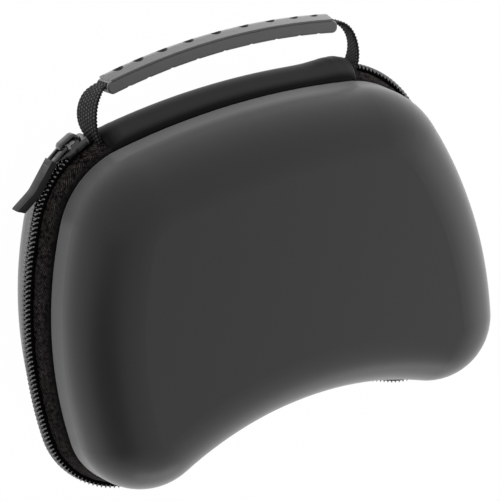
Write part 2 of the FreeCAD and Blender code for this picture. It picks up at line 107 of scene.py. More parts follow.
def shade(material, value, dark, light):
    """A colour between two colours, by a value from 0 to 1."""
    mixed = add_node(material, "ShaderNodeMix", {"Factor": value}, data_type="RGBA")
    colours = [socket for socket in mixed.inputs if socket.type == "RGBA"]
    for socket, colour in zip(colours, (dark, light)):
        socket.default_value = (*colour, 1)
    return next(socket for socket in mixed.outputs if socket.type == "RGBA")


def feed(material, surface, name, socket):
    """Links a socket to one of the surface shader's inputs."""
    material.node_tree.links.new(socket, surface.inputs[name])


def raise_grain(material, surface, height, depth):
    """Bump of the given depth in metres from a height between 0 and 1."""
    inputs = {"Height": height, "Distance": depth, "Strength": 1.0}
    feed(material, surface, "Normal", add_node(material, "ShaderNodeBump", inputs).outputs["Normal"])


def dress(node, material):
    """Gives a node of the frame its finish."""
    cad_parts[node].data.materials.clear()
    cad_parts[node].data.materials.append(material)


shell_skin, skin = new_finish("shell_skin", SKIN_COLOUR, SKIN_ROUGHNESS, SKIN_GLOSS)
skin.inputs["Sheen Weight"].default_value = SKIN_SHEEN
skin.inputs["Sheen Roughness"].default_value = SKIN_SHEEN_ROUGHNESS
raise_grain(shell_skin, skin, object_noise(shell_skin, SKIN_GRAIN), SKIN_GRAIN_DEPTH)
clouds = object_noise(shell_skin, SKIN_CLOUD)
uneven = spread(shell_skin, clouds, SKIN_ROUGHNESS - SKIN_UNEVEN, SKIN_ROUGHNESS + SKIN_UNEVEN)
feed(shell_skin, skin, "Roughness", uneven)
for half in ("front", "back"):
    dress(f"{half}_shell", shell_skin)


# Linings. A knitted cloth is laminated to the inside of each half and follows the foam.
# It is cut from the shell's own inner wall and ends under the binding.
LINING_THICK = 0.0003
LINING_SUNK = 0.00024
LINING_COLOUR = (0.02, 0.02, 0.021)
LINING_LIGHT = (0.032, 0.032, 0.033)
LINING_ROUGHNESS = 0.85
LINING_SHEEN = 0.2
LINING_KNIT = 0.0007
LINING_BUMP = 0.0002
MERGE = 0.000002
SEAM_Z = (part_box("back_shell")[1].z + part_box("front_shell")[0].z) / 2
RIM_ROUND = 0.0012
FLAT = 0.999


def new_piece(bm, name, material, body):
    """A smooth object for a finished mesh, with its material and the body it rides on."""
    mesh = bpy.data.meshes.new(name)
    bm.to_mesh(mesh)
    bm.free()
    mesh.polygons.foreach_set("use_smooth", [True] * len(mesh.polygons))
    mesh.materials.append(material)
    piece = bpy.data.objects.new(name, mesh)
    bpy.context.scene.collection.objects.link(piece)
    if body:
        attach(piece, body)
    return piece


def node_copy(node):
    """A node's own shape as one merged mesh."""
    bm = bmesh.new()
    bm.from_mesh(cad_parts[node].data)
    bmesh.ops.remove_doubles(bm, verts=bm.verts, dist=MERGE)
    return bm


def inner_wall(node):
    """The shell's inner wall: the flat inside face and all that it reaches down to the rim."""
    bm = node_copy(node)
    rim = min(abs(vert.co.z - SEAM_Z) for vert in bm.verts) + RIM_ROUND
    outer = max(abs(vert.co.z - SEAM_Z) for vert in bm.verts)

    def height(face):
        return abs(face.calc_center_median().z - SEAM_Z)

    inside = [face for face in bm.faces if height(face) < outer - RIM_ROUND]
    reached = {face for face in inside if abs(face.normal.z) > FLAT}
    found = set(reached)
    while found:
        near = {other for face in found for edge in face.edges for other in edge.link_faces}
        found = {face for face in near - reached if height(face) > rim}
        reached |= found
    bmesh.ops.delete(bm, geom=[face for face in bm.faces if face not in reached], context="FACES")
    return bm


lining_cloth, lining_surface = new_finish("lining_cloth", LINING_COLOUR, LINING_ROUGHNESS)
lining_surface.inputs["Sheen Weight"].default_value = LINING_SHEEN
knit = object_noise(lining_cloth, LINING_KNIT)
feed(lining_cloth, lining_surface, "Base Color", shade(lining_cloth, knit, LINING_COLOUR, LINING_LIGHT))
raise_grain(lining_cloth, lining_surface, knit, LINING_BUMP)
for half, body in (("front", "lid"), ("back", "base")):
    wall = inner_wall(f"{half}_shell")
    for vert in wall.verts:
        vert.co += vert.normal * LINING_THICK
    bmesh.ops.solidify(wall, geom=wall.faces, thickness=LINING_SUNK)
    new_piece(wall, f"{half}_lining", lining_cloth, body)


# Zip tapes. A herringbone tape runs round each half: upright behind the coil, then sloping in and tucked
# under the rim, where it is sewn. It puckers along the sewn edge and is pulled into creases at both ends.
CORNER = Vector((0.0405, 0.0245))
CORNER_R = 0.039
LOBE = Vector((0.06, -0.036))
LOBE_R = 0.0295
CROWN_R = 0.288
SIDE_R = 0.156
ARCH_R = 0.12
TOP_SHIFT = 0.0022
PANEL_HALF = 0.051
STRAP_SLOT = 0.0032
TAPE_WALL = 0.0009
TAPE_BEHIND = 0.0018
TAPE_SEAM = 0.00035
TAPE_STRAIGHT = 0.0038
TAPE_RIM = Vector((0.0061, 0.0103))
TAPE_TUCK_END = 0.0079
TAPE_LEAD = 0.25
TAPE_UNDER_PANEL = 0.0015
TAPE_CELLS = (720, 18)
FOLD_POINTS, SLOPE_POINTS = 8, 10
PUCKER = 0.00022
PUCKER_STEP = 0.0058
CREASE_DEPTH = 0.00045
CREASES_ACROSS = 2.6
CREASE_RUN = 0.03
CREASE_FADE = 0.013
TAPE_DARK = (0.0008, 0.0007, 0.0007)
TAPE_LIGHT = (0.055, 0.047, 0.044)
# Counted across the tape from the seam, the weave fades into painted shade from TAPE_LIT to TAPE_UNLIT, next
# to the rim.
TAPE_LIT, TAPE_UNLIT = 0.0062, 0.01
TAPE_ROUGHNESS = 0.6
TAPE_GLOSS = 0.04
TWILL_STEP = 0.0013
TWILL_BAND = 0.0026
TWILL_SLOPE = 1.5
TWILL_FUZZ = 3.0
TWILL_FUZZ_RANGE = 0.36, 0.64
TWILL_BUMP = 0.00014


def heading(vector):
    """Angle of a flat vector from the x axis."""
    return math.atan2(vector.y, vector.x)


def ridge_arcs():
    """The zip's outline as arcs (centre, radius, first angle, last angle), clockwise from the crown."""
    crown = Vector((0, CORNER.y - math.sqrt((CROWN_R - CORNER_R) ** 2 - CORNER.x ** 2)))
    arch = Vector((0, LOBE.y - math.sqrt((ARCH_R + LOBE_R) ** 2 - LOBE.x ** 2)))
    down = LOBE - CORNER
    near = SIDE_R - CORNER_R
    along = (near ** 2 - (SIDE_R - LOBE_R) ** 2 + down.length_squared) / (2 * down.length)
    across = math.sqrt(near ** 2 - along ** 2)
    side = CORNER + (down * along + Vector((down.y, -down.x)) * across) / down.length
    turns = [heading(CORNER - crown), heading(CORNER - side), heading(LOBE - side), heading(arch - LOBE)]
    right = [
        (crown, CROWN_R, math.pi / 2, turns[0]),
        (CORNER, CORNER_R, turns[0], turns[1]),
        (side, SIDE_R, turns[1], turns[2]),
        (LOBE, LOBE_R, turns[2], turns[3]),
        (arch, ARCH_R, heading(LOBE - arch), math.pi / 2),
    ]
    left = [
        (Vector((-centre.x, centre.y)), radius, math.pi - last, math.pi - first)
        for centre, radius, first, last in reversed(right)
    ]
    return right + left


RIDGE = ridge_arcs()
PERIMETER = sum(radius * abs(last - first) for _, radius, first, last in RIDGE)
ZIP_START = TOP_SHIFT + PANEL_HALF + STRAP_SLOT
ZIP_END = PERIMETER + TOP_SHIFT - PANEL_HALF - STRAP_SLOT
TAPE_START = TOP_SHIFT + PANEL_HALF - TAPE_UNDER_PANEL
TAPE_END = PERIMETER + TOP_SHIFT - PANEL_HALF + TAPE_UNDER_PANEL


@functools.cache
def ridge(distance):
    """Frame on the zip's ridge: x runs clockwise along it, y points out of the case and z is up."""
    left = distance % PERIMETER
    for centre, radius, first, last in RIDGE:
        length = radius * abs(last - first)
        if left <= length:
            break
        left -= length
    angle = first + (last - first) * left / length
    spoke = Vector((math.cos(angle), math.sin(angle)))
    point = centre + spoke * radius
    out = spoke if last < first else -spoke
    return Matrix((
        (out.y, out.x, 0, point.x),
        (-out.x, out.y, 0, point.y),
        (0, 0, 1, SEAM_Z),
        (0, 0, 0, 1),
    ))


def laid_grid(cells, place, unroll):
    """A grid of cells, its corners laid at place(u, v) and its UVs from unroll(u, v), both from 0 to 1."""
    bm = bmesh.new()
    chart = bm.loops.layers.uv.new("UVMap")
    bmesh.ops.create_grid(bm, x_segments=cells[0], y_segments=cells[1], size=0.5)
    for face in bm.faces:
        for loop in face.loops:
            loop[chart].uv = unroll(loop.vert.co.x + 0.5, loop.vert.co.y + 0.5)
    for vert in bm.verts:
        vert.co = place(vert.co.x + 0.5, vert.co.y + 0.5)
    bm.normal_update()
    return bm


def thicken(piece, thickness, offset):
    """Gives a sheet its wall, on both sides of it (0) or on its inside (-1)."""
    wall = piece.modifiers.new("thickness", "SOLIDIFY")
    wall.thickness = thickness
    wall.offset = offset


def line_length(points):
    """Length of a line through points."""
    return sum((b - a).length for a, b in zip(points, points[1:]))


def along_path(points, share):
    """The point at a share of the length of a line through points."""
    left = share * line_length(points)
    for start, end in zip(points, points[1:]):
        length = (end - start).length
        if left <= length:
            break
        left -= length
    return start.lerp(end, min(left / length, 1))


def tape_profile():
    """Points (inset, height) from the edge tucked under the rim, over its fold and down to the seam."""
    bend = Vector((TAPE_BEHIND, TAPE_STRAIGHT))
    tuck = Vector((TAPE_TUCK_END, TAPE_RIM.y))
    foot = Vector((TAPE_BEHIND, TAPE_SEAM))
    lead = TAPE_RIM.lerp(bend, TAPE_LEAD)
    fold = interpolate_bezier(tuck, TAPE_RIM, TAPE_RIM, lead, FOLD_POINTS)
    slope = interpolate_bezier(lead, bend, bend, foot, SLOPE_POINTS)
    return [point.to_2d() for point in fold + slope[1:]]


PROFILE = tape_profile()
TAPE_WIDTH = line_length(PROFILE)


def reckon(material, operation, first, second=0.0):
    """One sum on two sockets or numbers."""
    return add_node(material, "ShaderNodeMath", {0: first, 1: second}, operation=operation).outputs[0]


def chart_axes(material):
    """The two directions of a piece's own UV map."""
    uv = add_node(material, "ShaderNodeTexCoord").outputs["UV"]
    return add_node(material, "ShaderNodeSeparateXYZ", {"Vector": uv}).outputs[:2]


def twill(material):
    """Height of herringbone cloth: fine diagonal ribs that change their slope from band to band, faded out
    towards the tucked edge as painted shade.
    """
    along, across = chart_axes(material)
    lean = reckon(material, "MULTIPLY", reckon(material, "PINGPONG", across, TWILL_BAND), TWILL_SLOPE)
    turns = reckon(material, "MULTIPLY", reckon(material, "ADD", along, lean), 2 * math.pi / TWILL_STEP)
    ribs = spread(material, reckon(material, "SINE", turns), 0.0, 1.0, start=-1.0)
    fuzz = spread(material, object_noise(material, TWILL_STEP, TWILL_FUZZ), 0.0, 1.0, *TWILL_FUZZ_RANGE)
    # Painted shade: the ribs darken towards the edge tucked under the shell's rim.
    painted_rim_shade = spread(material, across, 1.0, 0.0, TAPE_LIT, TAPE_UNLIT)
    return reckon(material, "MULTIPLY", reckon(material, "MULTIPLY", ribs, fuzz), painted_rim_shade)


tape_cloth, tape_surface = new_finish("tape_cloth", TAPE_LIGHT, TAPE_ROUGHNESS, TAPE_GLOSS)
ribs_and_painted_shade = twill(tape_cloth)
feed(tape_cloth, tape_surface, "Base Color", shade(tape_cloth, ribs_and_painted_shade, TAPE_DARK, TAPE_LIGHT))
raise_grain(tape_cloth, tape_surface, ribs_and_painted_shade, TWILL_BUMP)


@functools.cache
def tape_point(share):
    """Inset and height of the tape at a share of its width from the seam."""
    return along_path(PROFILE, 1 - share)


def tape(half, body, up):
    """One half's tape as a sheet that follows the ridge, above the seam (1) or below it (-1)."""
    def spot(u, v):
        return TAPE_START + u * (TAPE_END - TAPE_START), v if up < 0 else 1 - v

    def place(u, v):
        distance, share = spot(u, v)
        inset, height = tape_point(share)
        from_end = min(distance - TAPE_START, TAPE_END - distance)
        wave = math.sin(2 * math.pi * (share * CREASES_ACROSS + from_end / CREASE_RUN))
        crease = CREASE_DEPTH * math.exp(-from_end / CREASE_FADE) * wave
        ripple = PUCKER * math.sin(2 * math.pi * distance / PUCKER_STEP) * share
        inset += math.sin(math.pi * share) * (ripple + crease)
        return ridge(distance) @ Vector((0, -inset, up * height))

    def unroll(u, v):
        distance, share = spot(u, v)
        return distance, share * TAPE_WIDTH

    cloth = laid_grid(TAPE_CELLS, place, unroll)
    piece = new_piece(cloth, f"{half}_tape_cloth", tape_cloth, body)
    thicken(piece, TAPE_WALL, 0)
    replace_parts(piece, f"{half}_zip_tape")


tape("front", "lid", 1)
tape("back", "base", -1)


# Coils. Each row is a nylon thread wound round a cord into flattened turns and sewn to the tape's edge.
# The turns lean along the zip, and their round heads hook between the heads of the other row.
COIL_PITCH = 0.0017
COIL_PHASE = 0.25
COIL_RADIUS = Vector((0.0005, 0.00125, 0.0011))
COIL_REACH = 0.00325
COIL_HOOK = 0.0002
COIL_PARTED = -0.0004
PARTED_FROM, PARTED_TO = math.radians(100), math.radians(152)
COIL_INSET = 0.00005
COIL_LEAN = 0.5
COIL_HEAD = 1.25
COIL_SIDES = 6
COIL_COLOUR = (0.002, 0.002, 0.002)
COIL_GLOSS = 0.9
COIL_IOR = 1.75
COIL_ROUGHNESS = (0.06, 0.16)
COIL_WEAR = 0.0009
CORE_INSET = 0.0006
CORE_RADIUS = Vector((0.0011, 0.00145))
CORE_HEIGHT = 0.00175
CORE_CELLS = (540, 10)
CORE_COLOUR = (0.002, 0.002, 0.002)
CORE_ROUGHNESS = 0.9
CORE_GLOSS = 0.02

coil_nylon, coil_surface = new_finish("coil_nylon", COIL_COLOUR, COIL_ROUGHNESS[0], COIL_GLOSS)
coil_surface.inputs["IOR"].default_value = COIL_IOR
worn = spread(coil_nylon, object_noise(coil_nylon, COIL_WEAR), *COIL_ROUGHNESS)
feed(coil_nylon, coil_surface, "Roughness", worn)
core_cord = new_finish("core_cord", CORE_COLOUR, CORE_ROUGHNESS, CORE_GLOSS)[0]


def hook_reach(station):
    """How far a turn reaches over the seam: the slider's post parts the rows where the slider runs."""
    turn = heading(station.translation.to_2d() - Vector((-CORNER.x, CORNER.y)))
    return COIL_PARTED if PARTED_FROM < turn < PARTED_TO else COIL_HOOK


def add_turn(bm, station, up):
    """One flattened turn: a capsule across the tape's edge, with a bulb at the end that hooks."""
    hook = hook_reach(station)
    ball = bmesh.ops.create_uvsphere(bm, u_segments=COIL_SIDES, v_segments=COIL_SIDES, radius=1.0)
    made = ball["verts"]
    half_length = (COIL_REACH + hook) / 2 - COIL_RADIUS.z
    bmesh.ops.scale(bm, verts=made, vec=COIL_RADIUS)
    outer = [vert for vert in made if vert.co.z > MERGE]
    inner = [vert for vert in made if vert.co.z < -MERGE]
    bmesh.ops.scale(bm, verts=inner, vec=(COIL_HEAD, 1, 1))
    bmesh.ops.translate(bm, verts=outer, vec=(0, 0, half_length))
    bmesh.ops.translate(bm, verts=inner, vec=(0, 0, -half_length))
    lean = Matrix.Identity(4)
    lean[0][2] = COIL_LEAN
    lift = Matrix.Translation((0, -COIL_INSET, (COIL_REACH - hook) / 2))
    flip = Matrix.Diagonal((1, 1, up, 1))
    bmesh.ops.transform(bm, verts=made, matrix=station @ flip @ lift @ lean)


def close_up(bm):
    """Joins a tube's seam, caps its ends and turns its faces outwards."""
    bmesh.ops.remove_doubles(bm, verts=bm.verts, dist=MERGE)
    bmesh.ops.holes_fill(bm, edges=bm.edges)
    bmesh.ops.recalc_face_normals(bm, faces=bm.faces)


def coil(half, body, up):
    """One row: the cord in the middle and the turns round it, above the seam (1) or below it (-1)."""
    length = ZIP_END - ZIP_START

    def core_place(u, v):
        turn = 2 * math.pi * v * up
        out, height = CORE_RADIUS.x * math.cos(turn), CORE_HEIGHT + CORE_RADIUS.y * math.sin(turn)
        return ridge(ZIP_START + u * length) @ Vector((0, out - CORE_INSET, up * height))

    core = laid_grid(CORE_CELLS, core_place, lambda u, v: (u, v))
    close_up(core)
    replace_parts(new_piece(core, f"{half}_coil_core", core_cord, body), f"{half}_zip_coil")
    bm = bmesh.new()
    count = round(length / COIL_PITCH)
    phase = COIL_PHASE if up > 0 else 1 - COIL_PHASE
    for number in range(count):
        add_turn(bm, ridge(ZIP_START + (number + phase) * length / count), up)
    bmesh.ops.recalc_face_normals(bm, faces=bm.faces)
    piece = new_piece(bm, f"{half}_coil_turns", coil_nylon, body)
    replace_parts(piece, f"{half}_zip_coil")


coil("front", "lid", 1)
coil("back", "base", -1)


# Bindings. A folded woven strip is sewn over the raw edges inside each half.
# It shows only when the case is open.
BINDING_DARK = (0.009, 0.009, 0.0095)
BINDING_LIGHT = (0.016, 0.016, 0.0165)
BINDING_ROUGHNESS = 0.7
BINDING_THREAD = 0.0006
BINDING_BUMP = 0.0002

binding_cloth, binding_surface = new_finish("binding_cloth", BINDING_LIGHT, BINDING_ROUGHNESS)
threads = object_noise(binding_cloth, BINDING_THREAD)
binding_weave = shade(binding_cloth, threads, BINDING_DARK, BINDING_LIGHT)
feed(binding_cloth, binding_surface, "Base Color", binding_weave)
raise_grain(binding_cloth, binding_surface, threads, BINDING_BUMP)
for half in ("front", "back"):
    dress(f"{half}_binding", binding_cloth)


# Hinge panel. Coated cloth over thin foam is rolled along the crown from rim to rim and sewn under both.
# It puffs up beside the handle's ends, rounds off there and is gathered into small creases.
PANEL_BULGE = 0.0015
PANEL_EDGE = 0.0062
PANEL_ROLL = 0.0088
PANEL_RIM = 0.0106
PANEL_TUCK = 0.0079
PANEL_FULLNESS = 2.0
PANEL_WALL = 0.0016
PANEL_CELLS = (260, 56)
PANEL_ROLL_SHARE = 0.86
PANEL_COLOUR = (0.019, 0.019, 0.0192)
# The next colour is painted shade: it is laid along both edges of the roll, where they run into the creases
# under the rims, and over the left end.
PANEL_PAINTED_SHADE = (0.0004, 0.0004, 0.0004)
CREASE_SHADE_START, CREASE_SHADE_END = 0.54, 0.68
END_SHADE_START, END_SHADE_END = 0.075, 0.02
PANEL_ROUGHNESS = 0.42
PANEL_GLOSS = 0.07
PANEL_SHEEN = 0.1
PANEL_GRAIN = 0.0005
PANEL_GRAIN_DEPTH = 0.00002
END_ROUND = 0.0035
RIGHT_DROP, LEFT_DROP = 0.0009, 0.0008
PUFF_WIDTH = 0.0085
RIGHT_PUFF, RIGHT_PUFF_CENTRE = 0.0017, 0.006
LEFT_PUFF, LEFT_PUFF_CENTRE = 0.0, 0.006
RIGHT_FOLD, LEFT_FOLD = 0.00014, 0.00008
FOLD_STEP = 0.0042
FOLD_FADE = 0.007
FOLD_SLANT = 0.35
DROP_AT_RIM = 0.35

panel_skin, panel_surface = new_finish("panel_skin", PANEL_COLOUR, PANEL_ROUGHNESS, PANEL_GLOSS)
panel_surface.inputs["Sheen Weight"].default_value = PANEL_SHEEN
raise_grain(panel_skin, panel_surface, object_noise(panel_skin, PANEL_GRAIN), PANEL_GRAIN_DEPTH)
# Painted shade: the colour darkens along both edges, in the creases under the shells' rims, and at the left
# end of the roll.
along_panel, round_panel = chart_axes(panel_skin)
from_crown = reckon(panel_skin, "ABSOLUTE", spread(panel_skin, round_panel, -1.0, 1.0))
crease_shade = spread(panel_skin, from_crown, 0.0, 1.0, CREASE_SHADE_START, CREASE_SHADE_END)
end_shade = spread(panel_skin, along_panel, 0.0, 1.0, END_SHADE_START, END_SHADE_END)
painted_panel_shade = reckon(panel_skin, "MAXIMUM", crease_shade, end_shade)
feed(panel_skin, panel_surface, "Base Color", shade(panel_skin, painted_panel_shade, PANEL_COLOUR, PANEL_PAINTED_SHADE))


@functools.cache
def panel_section(v):
    """Inset and height of the roll, from the tucked front edge at 0 over the crown to the back edge at 1."""
    side = 1 if v < 0.5 else -1
    share = abs(v - 0.5) * 2
    turn = math.pi / 2 * min(share / PANEL_ROLL_SHARE, 1)
    height = PANEL_ROLL * math.sin(turn) ** (2 / PANEL_FULLNESS)
    inset = PANEL_EDGE - (PANEL_EDGE + PANEL_BULGE) * max(math.cos(turn), 0) ** (2 / PANEL_FULLNESS)
    tucked = max(share - PANEL_ROLL_SHARE, 0) / (1 - PANEL_ROLL_SHARE)
    inset += (PANEL_TUCK - PANEL_EDGE) * tucked
    return inset, side * (height + (PANEL_RIM - PANEL_ROLL) * tucked)


def panel_place(u, v):
    """A point of the panel: u along the crown from left to right, v round the roll."""
    inset, height = panel_section(v)
    distance = TOP_SHIFT + PANEL_HALF * (2 * u - 1)
    from_end = PANEL_HALF * (1 - abs(2 * u - 1))
    crown = math.cos(math.pi / 2 * min(abs(height) / PANEL_RIM, 1))
    right_end = RIGHT_PUFF, RIGHT_PUFF_CENTRE, RIGHT_DROP, RIGHT_FOLD
    left_end = LEFT_PUFF, LEFT_PUFF_CENTRE, LEFT_DROP, LEFT_FOLD
    puff, centre, end_drop, depth = right_end if u > 0.5 else left_end
    swell = puff * math.exp(-((from_end - centre) / PUFF_WIDTH) ** 2)
    near = min(max(0, 1 - from_end / END_ROUND), 1)
    drop = end_drop * (1 - math.sqrt(1 - near ** 2))
    wave = math.sin(2 * math.pi * (from_end + FOLD_SLANT * height) / FOLD_STEP)
    fold = depth * math.exp(-from_end / FOLD_FADE) * wave
    inset += drop * (DROP_AT_RIM + (1 - DROP_AT_RIM) * crown) - crown * (swell + fold)
    return ridge(distance) @ Vector((0, -inset, height))


panel_mesh = laid_grid(PANEL_CELLS, panel_place, lambda u, v: (u, v))
panel = new_piece(panel_mesh, "panel_roll", panel_skin, None)
thicken(panel, PANEL_WALL, -1)
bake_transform(panel)
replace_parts(panel, "hinge_panel")


# Handle webbing. One coarse woven strap comes out of the seam at both ends of the panel, bows outwards and
# runs through the grip, where it is folded narrower. Its warp is thick cords that show as rows of knots.
STRAP_WIDTH = 0.011
STRAP_FOLDED = 0.0082
STRAP_THICK = 0.0015
STRAP_SEAT = 0.00035
STRAP_ROOT_INSET = 0.0016
LEFT_BOW = Vector((-0.0033, 0.0076)), Vector((-0.006, -0.0014))
RIGHT_BOW = Vector((0.0064, 0.0059)), Vector((0.0085, -0.0009))
STRAP_FLARE = 0.0025
GRIP_RISE = 0.0164
GRIP_R = 0.24
RUN_LEFT = 0.0455
RUN_RIGHT = 0.0475
FOLD_REACH = 0.005
BOW_POINTS, RUN_STEPS = 32, 24
STRAP_CELLS = (800, 88)
STRAP_CORDS = 8
STRAP_KNOT = 0.00125
KNOT_HEIGHT = 0.0004
KNOT_LOW = 0.3
STRAP_SCALLOP = 0.015
STRAP_FLATNESS = 0.35
# Painted light: the strap's colour runs from dark in the grooves to light on the knots' crowns.
STRAP_GROOVE_SHADE = (0.0012, 0.0012, 0.0012)
STRAP_KNOT_HIGHLIGHT = (0.16, 0.158, 0.155)
STRAP_ROUGHNESS = 0.65
STRAP_GLOSS = 0.2
STRAP_FLECK = 0.0006
FLECK_DARKEST = 0.2
FLECK_RANGE = 0.3, 0.7
STRAP_CONTRAST = 1.6
RIDGE_TOP = ridge(0).translation.y


def strap_root(mirror):
    """Point where the strap's middle line leaves the seam, on the left (-1) or the right (1)."""
    station = ridge(TOP_SHIFT + mirror * (PANEL_HALF + STRAP_SEAT + STRAP_THICK / 2))
    return (station @ Vector((0, -STRAP_ROOT_INSET, 0))).to_2d()


def strap_bow(root, mouth, bow):
    """Points from a root out of the case and round to the grip's mouth."""
    line = interpolate_bezier(root, root + bow[0], mouth + bow[1], mouth, BOW_POINTS)
    return [point.to_2d() for point in line]


def grip_run():
    """Points of the strap inside the grip, from left to right along the grip's arc."""
    centre = Vector((TOP_SHIFT, RIDGE_TOP + GRIP_RISE - GRIP_R))
    runs = [(RUN_LEFT + RUN_RIGHT) * step / RUN_STEPS - RUN_LEFT for step in range(RUN_STEPS + 1)]
    return [centre + GRIP_R * Vector((math.sin(run / GRIP_R), math.cos(run / GRIP_R))) for run in runs]


IN_GRIP = grip_run()
LEFT_FOOT = strap_bow(strap_root(-1), IN_GRIP[0], LEFT_BOW)
RIGHT_FOOT = strap_bow(strap_root(1), IN_GRIP[-1], RIGHT_BOW)
STRAP = LEFT_FOOT + IN_GRIP[1:-1] + RIGHT_FOOT[::-1]
STRAP_LENGTH = line_length(STRAP)
LEFT_MOUTH = line_length(LEFT_FOOT)
RIGHT_MOUTH = STRAP_LENGTH - line_length(RIGHT_FOOT)


@functools.cache
def strap_station(u):
    """Middle point, thickness direction, width and flare of the strap at a share of its length."""
    step = 1 / STRAP_CELLS[0]
    ahead = along_path(STRAP, min(u + step, 1)) - along_path(STRAP, max(u - step, 0))
    outside = max(LEFT_MOUTH - u * STRAP_LENGTH, u * STRAP_LENGTH - RIGHT_MOUTH, 0)
    open_out = math.sin(math.pi / 2 * min(outside / FOLD_REACH, 1)) ** 2
    width = STRAP_FOLDED + (STRAP_WIDTH - STRAP_FOLDED) * open_out
    foot = LEFT_MOUTH if u < 0.5 else RIGHT_MOUTH - STRAP_LENGTH
    flare = STRAP_FLARE * math.sin(math.pi * min(outside / abs(foot), 1)) * (-1 if u < 0.5 else 1)
    return along_path(STRAP, u), Vector((-ahead.y, ahead.x)).normalized(), width, flare


def weave_place(u, v):
    """Where a point lies in the weave: knots along the strap and cords across it."""
    return u * STRAP_LENGTH / STRAP_KNOT, (math.cos(2 * math.pi * v) + 1) / 2 * STRAP_CORDS


def strap_place(u, v):
    """A point on the strap's surface: u along it, v round its flattened section."""
    here, normal, width, flare = strap_station(u)
    knots, cords = weave_place(u, v)
    round_it = math.sin(2 * math.pi * v)
    swing = math.sin(2 * math.pi * (knots + math.floor(cords) / 2))
    knot = abs(math.sin(math.pi * cords)) * (KNOT_LOW + (1 - KNOT_LOW) * (swing + 1) / 2)
    lift = STRAP_THICK / 2 * abs(round_it) ** STRAP_FLATNESS + KNOT_HEIGHT * (knot - 0.5)
    point = here + normal * math.copysign(lift if round_it else 0, round_it)
    scallop = 1 + STRAP_SCALLOP * math.sin(2 * math.pi * knots)
    across = width / 2 * math.cos(2 * math.pi * v) * scallop
    return Vector((point.x + flare * across / width, point.y, SEAM_Z - across))


def weave_height(material):
    """Height of the weave, used to paint light on the knots' crowns and shade between them: a row of knots
    on each cord, in step with every second cord.
    """
    knots, cords = chart_axes(material)
    row = reckon(material, "MULTIPLY", reckon(material, "FLOOR", cords), 0.5)
    turns = reckon(material, "MULTIPLY", reckon(material, "ADD", knots, row), 2 * math.pi)
    swing = spread(material, reckon(material, "SINE", turns), KNOT_LOW, 1.0, start=-1.0)
    crown = reckon(material, "SINE", reckon(material, "MULTIPLY", cords, math.pi))
    return reckon(material, "MULTIPLY", reckon(material, "ABSOLUTE", crown), swing)


webbing_cloth, webbing_surface = new_finish("webbing_cloth", STRAP_KNOT_HIGHLIGHT, STRAP_ROUGHNESS, STRAP_GLOSS)
# Painted highlight on the knots' crowns and painted shade in the grooves between cords, broken up by random
# flecks.
flecks = object_noise(webbing_cloth, STRAP_FLECK)
painted_knot_light = reckon(webbing_cloth, "POWER", weave_height(webbing_cloth), STRAP_CONTRAST)
worn_flecks = spread(webbing_cloth, flecks, FLECK_DARKEST, 1.0, *FLECK_RANGE)
knot_light_and_flecks = reckon(webbing_cloth, "MULTIPLY", painted_knot_light, worn_flecks)
strap_painted_light = shade(webbing_cloth, knot_light_and_flecks, STRAP_GROOVE_SHADE, STRAP_KNOT_HIGHLIGHT)
feed(webbing_cloth, webbing_surface, "Base Color", strap_painted_light)
raise_grain(webbing_cloth, webbing_surface, flecks, KNOT_HEIGHT / 2)
strap_mesh = laid_grid(STRAP_CELLS, strap_place, weave_place)
close_up(strap_mesh)
webbing = new_piece(strap_mesh, "webbing_strap", webbing_cloth, None)
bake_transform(webbing)
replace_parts(webbing, "handle_webbing")


# Handle grip. A soft rubber sleeve is moulded with a row of holes along its ridged top and notches along
# its floor. Handling has left its grey a little uneven.
GRIP_COLOUR = (0.026, 0.026, 0.0264)
GRIP_LIGHT = (0.038, 0.038, 0.0384)
GRIP_SHEEN = 1.0
GRIP_ROUGHNESS = 0.55
GRIP_BLOTCH = 0.004
GRIP_GRAIN = 0.0004
GRIP_GRAIN_DEPTH = 0.00004

grip_rubber, grip_surface = new_finish("grip_rubber", GRIP_COLOUR, GRIP_ROUGHNESS)
grip_surface.inputs["Sheen Weight"].default_value = GRIP_SHEEN
blotches = object_noise(grip_rubber, GRIP_BLOTCH)
feed(grip_rubber, grip_surface, "Base Color", shade(grip_rubber, blotches, GRIP_COLOUR, GRIP_LIGHT))
raise_grain(grip_rubber, grip_surface, object_noise(grip_rubber, GRIP_GRAIN), GRIP_GRAIN_DEPTH)
dress("handle_grip", grip_rubber)


# Slider and link. Zinc castings in glossy black enamel: the slider holds both rows of the coil together,
# and the stamped link hangs in its bridge.
ENAMEL = (0.004, 0.004, 0.0041)
ENAMEL_ROUGHNESS = (0.14, 0.26)
ENAMEL_TUMBLE = 0.001
ENAMEL_GLOSS = 0.75
METAL_EDGE = 0.0004
SHARP_ANGLE = math.radians(35)
LEVEL_ANGLE = math.radians(0.02)
EDGE_STEPS = 3


def soften(node, body, material, width):
    """The node's own shape with its sharp edges rounded off."""
    bm = node_copy(node)
    bmesh.ops.dissolve_limit(bm, angle_limit=LEVEL_ANGLE, verts=bm.verts, edges=bm.edges)
    piece = new_piece(bm, f"{node}_finished", material, body)
    rounding = piece.modifiers.new("rounded edges", "BEVEL")
    rounding.width = width
    rounding.segments = EDGE_STEPS
    rounding.limit_method = "ANGLE"
    rounding.angle_limit = SHARP_ANGLE
    rounding.harden_normals = True
    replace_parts(piece, node)


enamel, enamel_surface = new_finish("enamel", ENAMEL, ENAMEL_ROUGHNESS[0], ENAMEL_GLOSS)
polish = spread(enamel, object_noise(enamel, ENAMEL_TUMBLE), *ENAMEL_ROUGHNESS)
feed(enamel, enamel_surface, "Roughness", polish)
soften("zip_slider", "slider", enamel, METAL_EDGE)
soften("pull_link", "pull", enamel, METAL_EDGE)


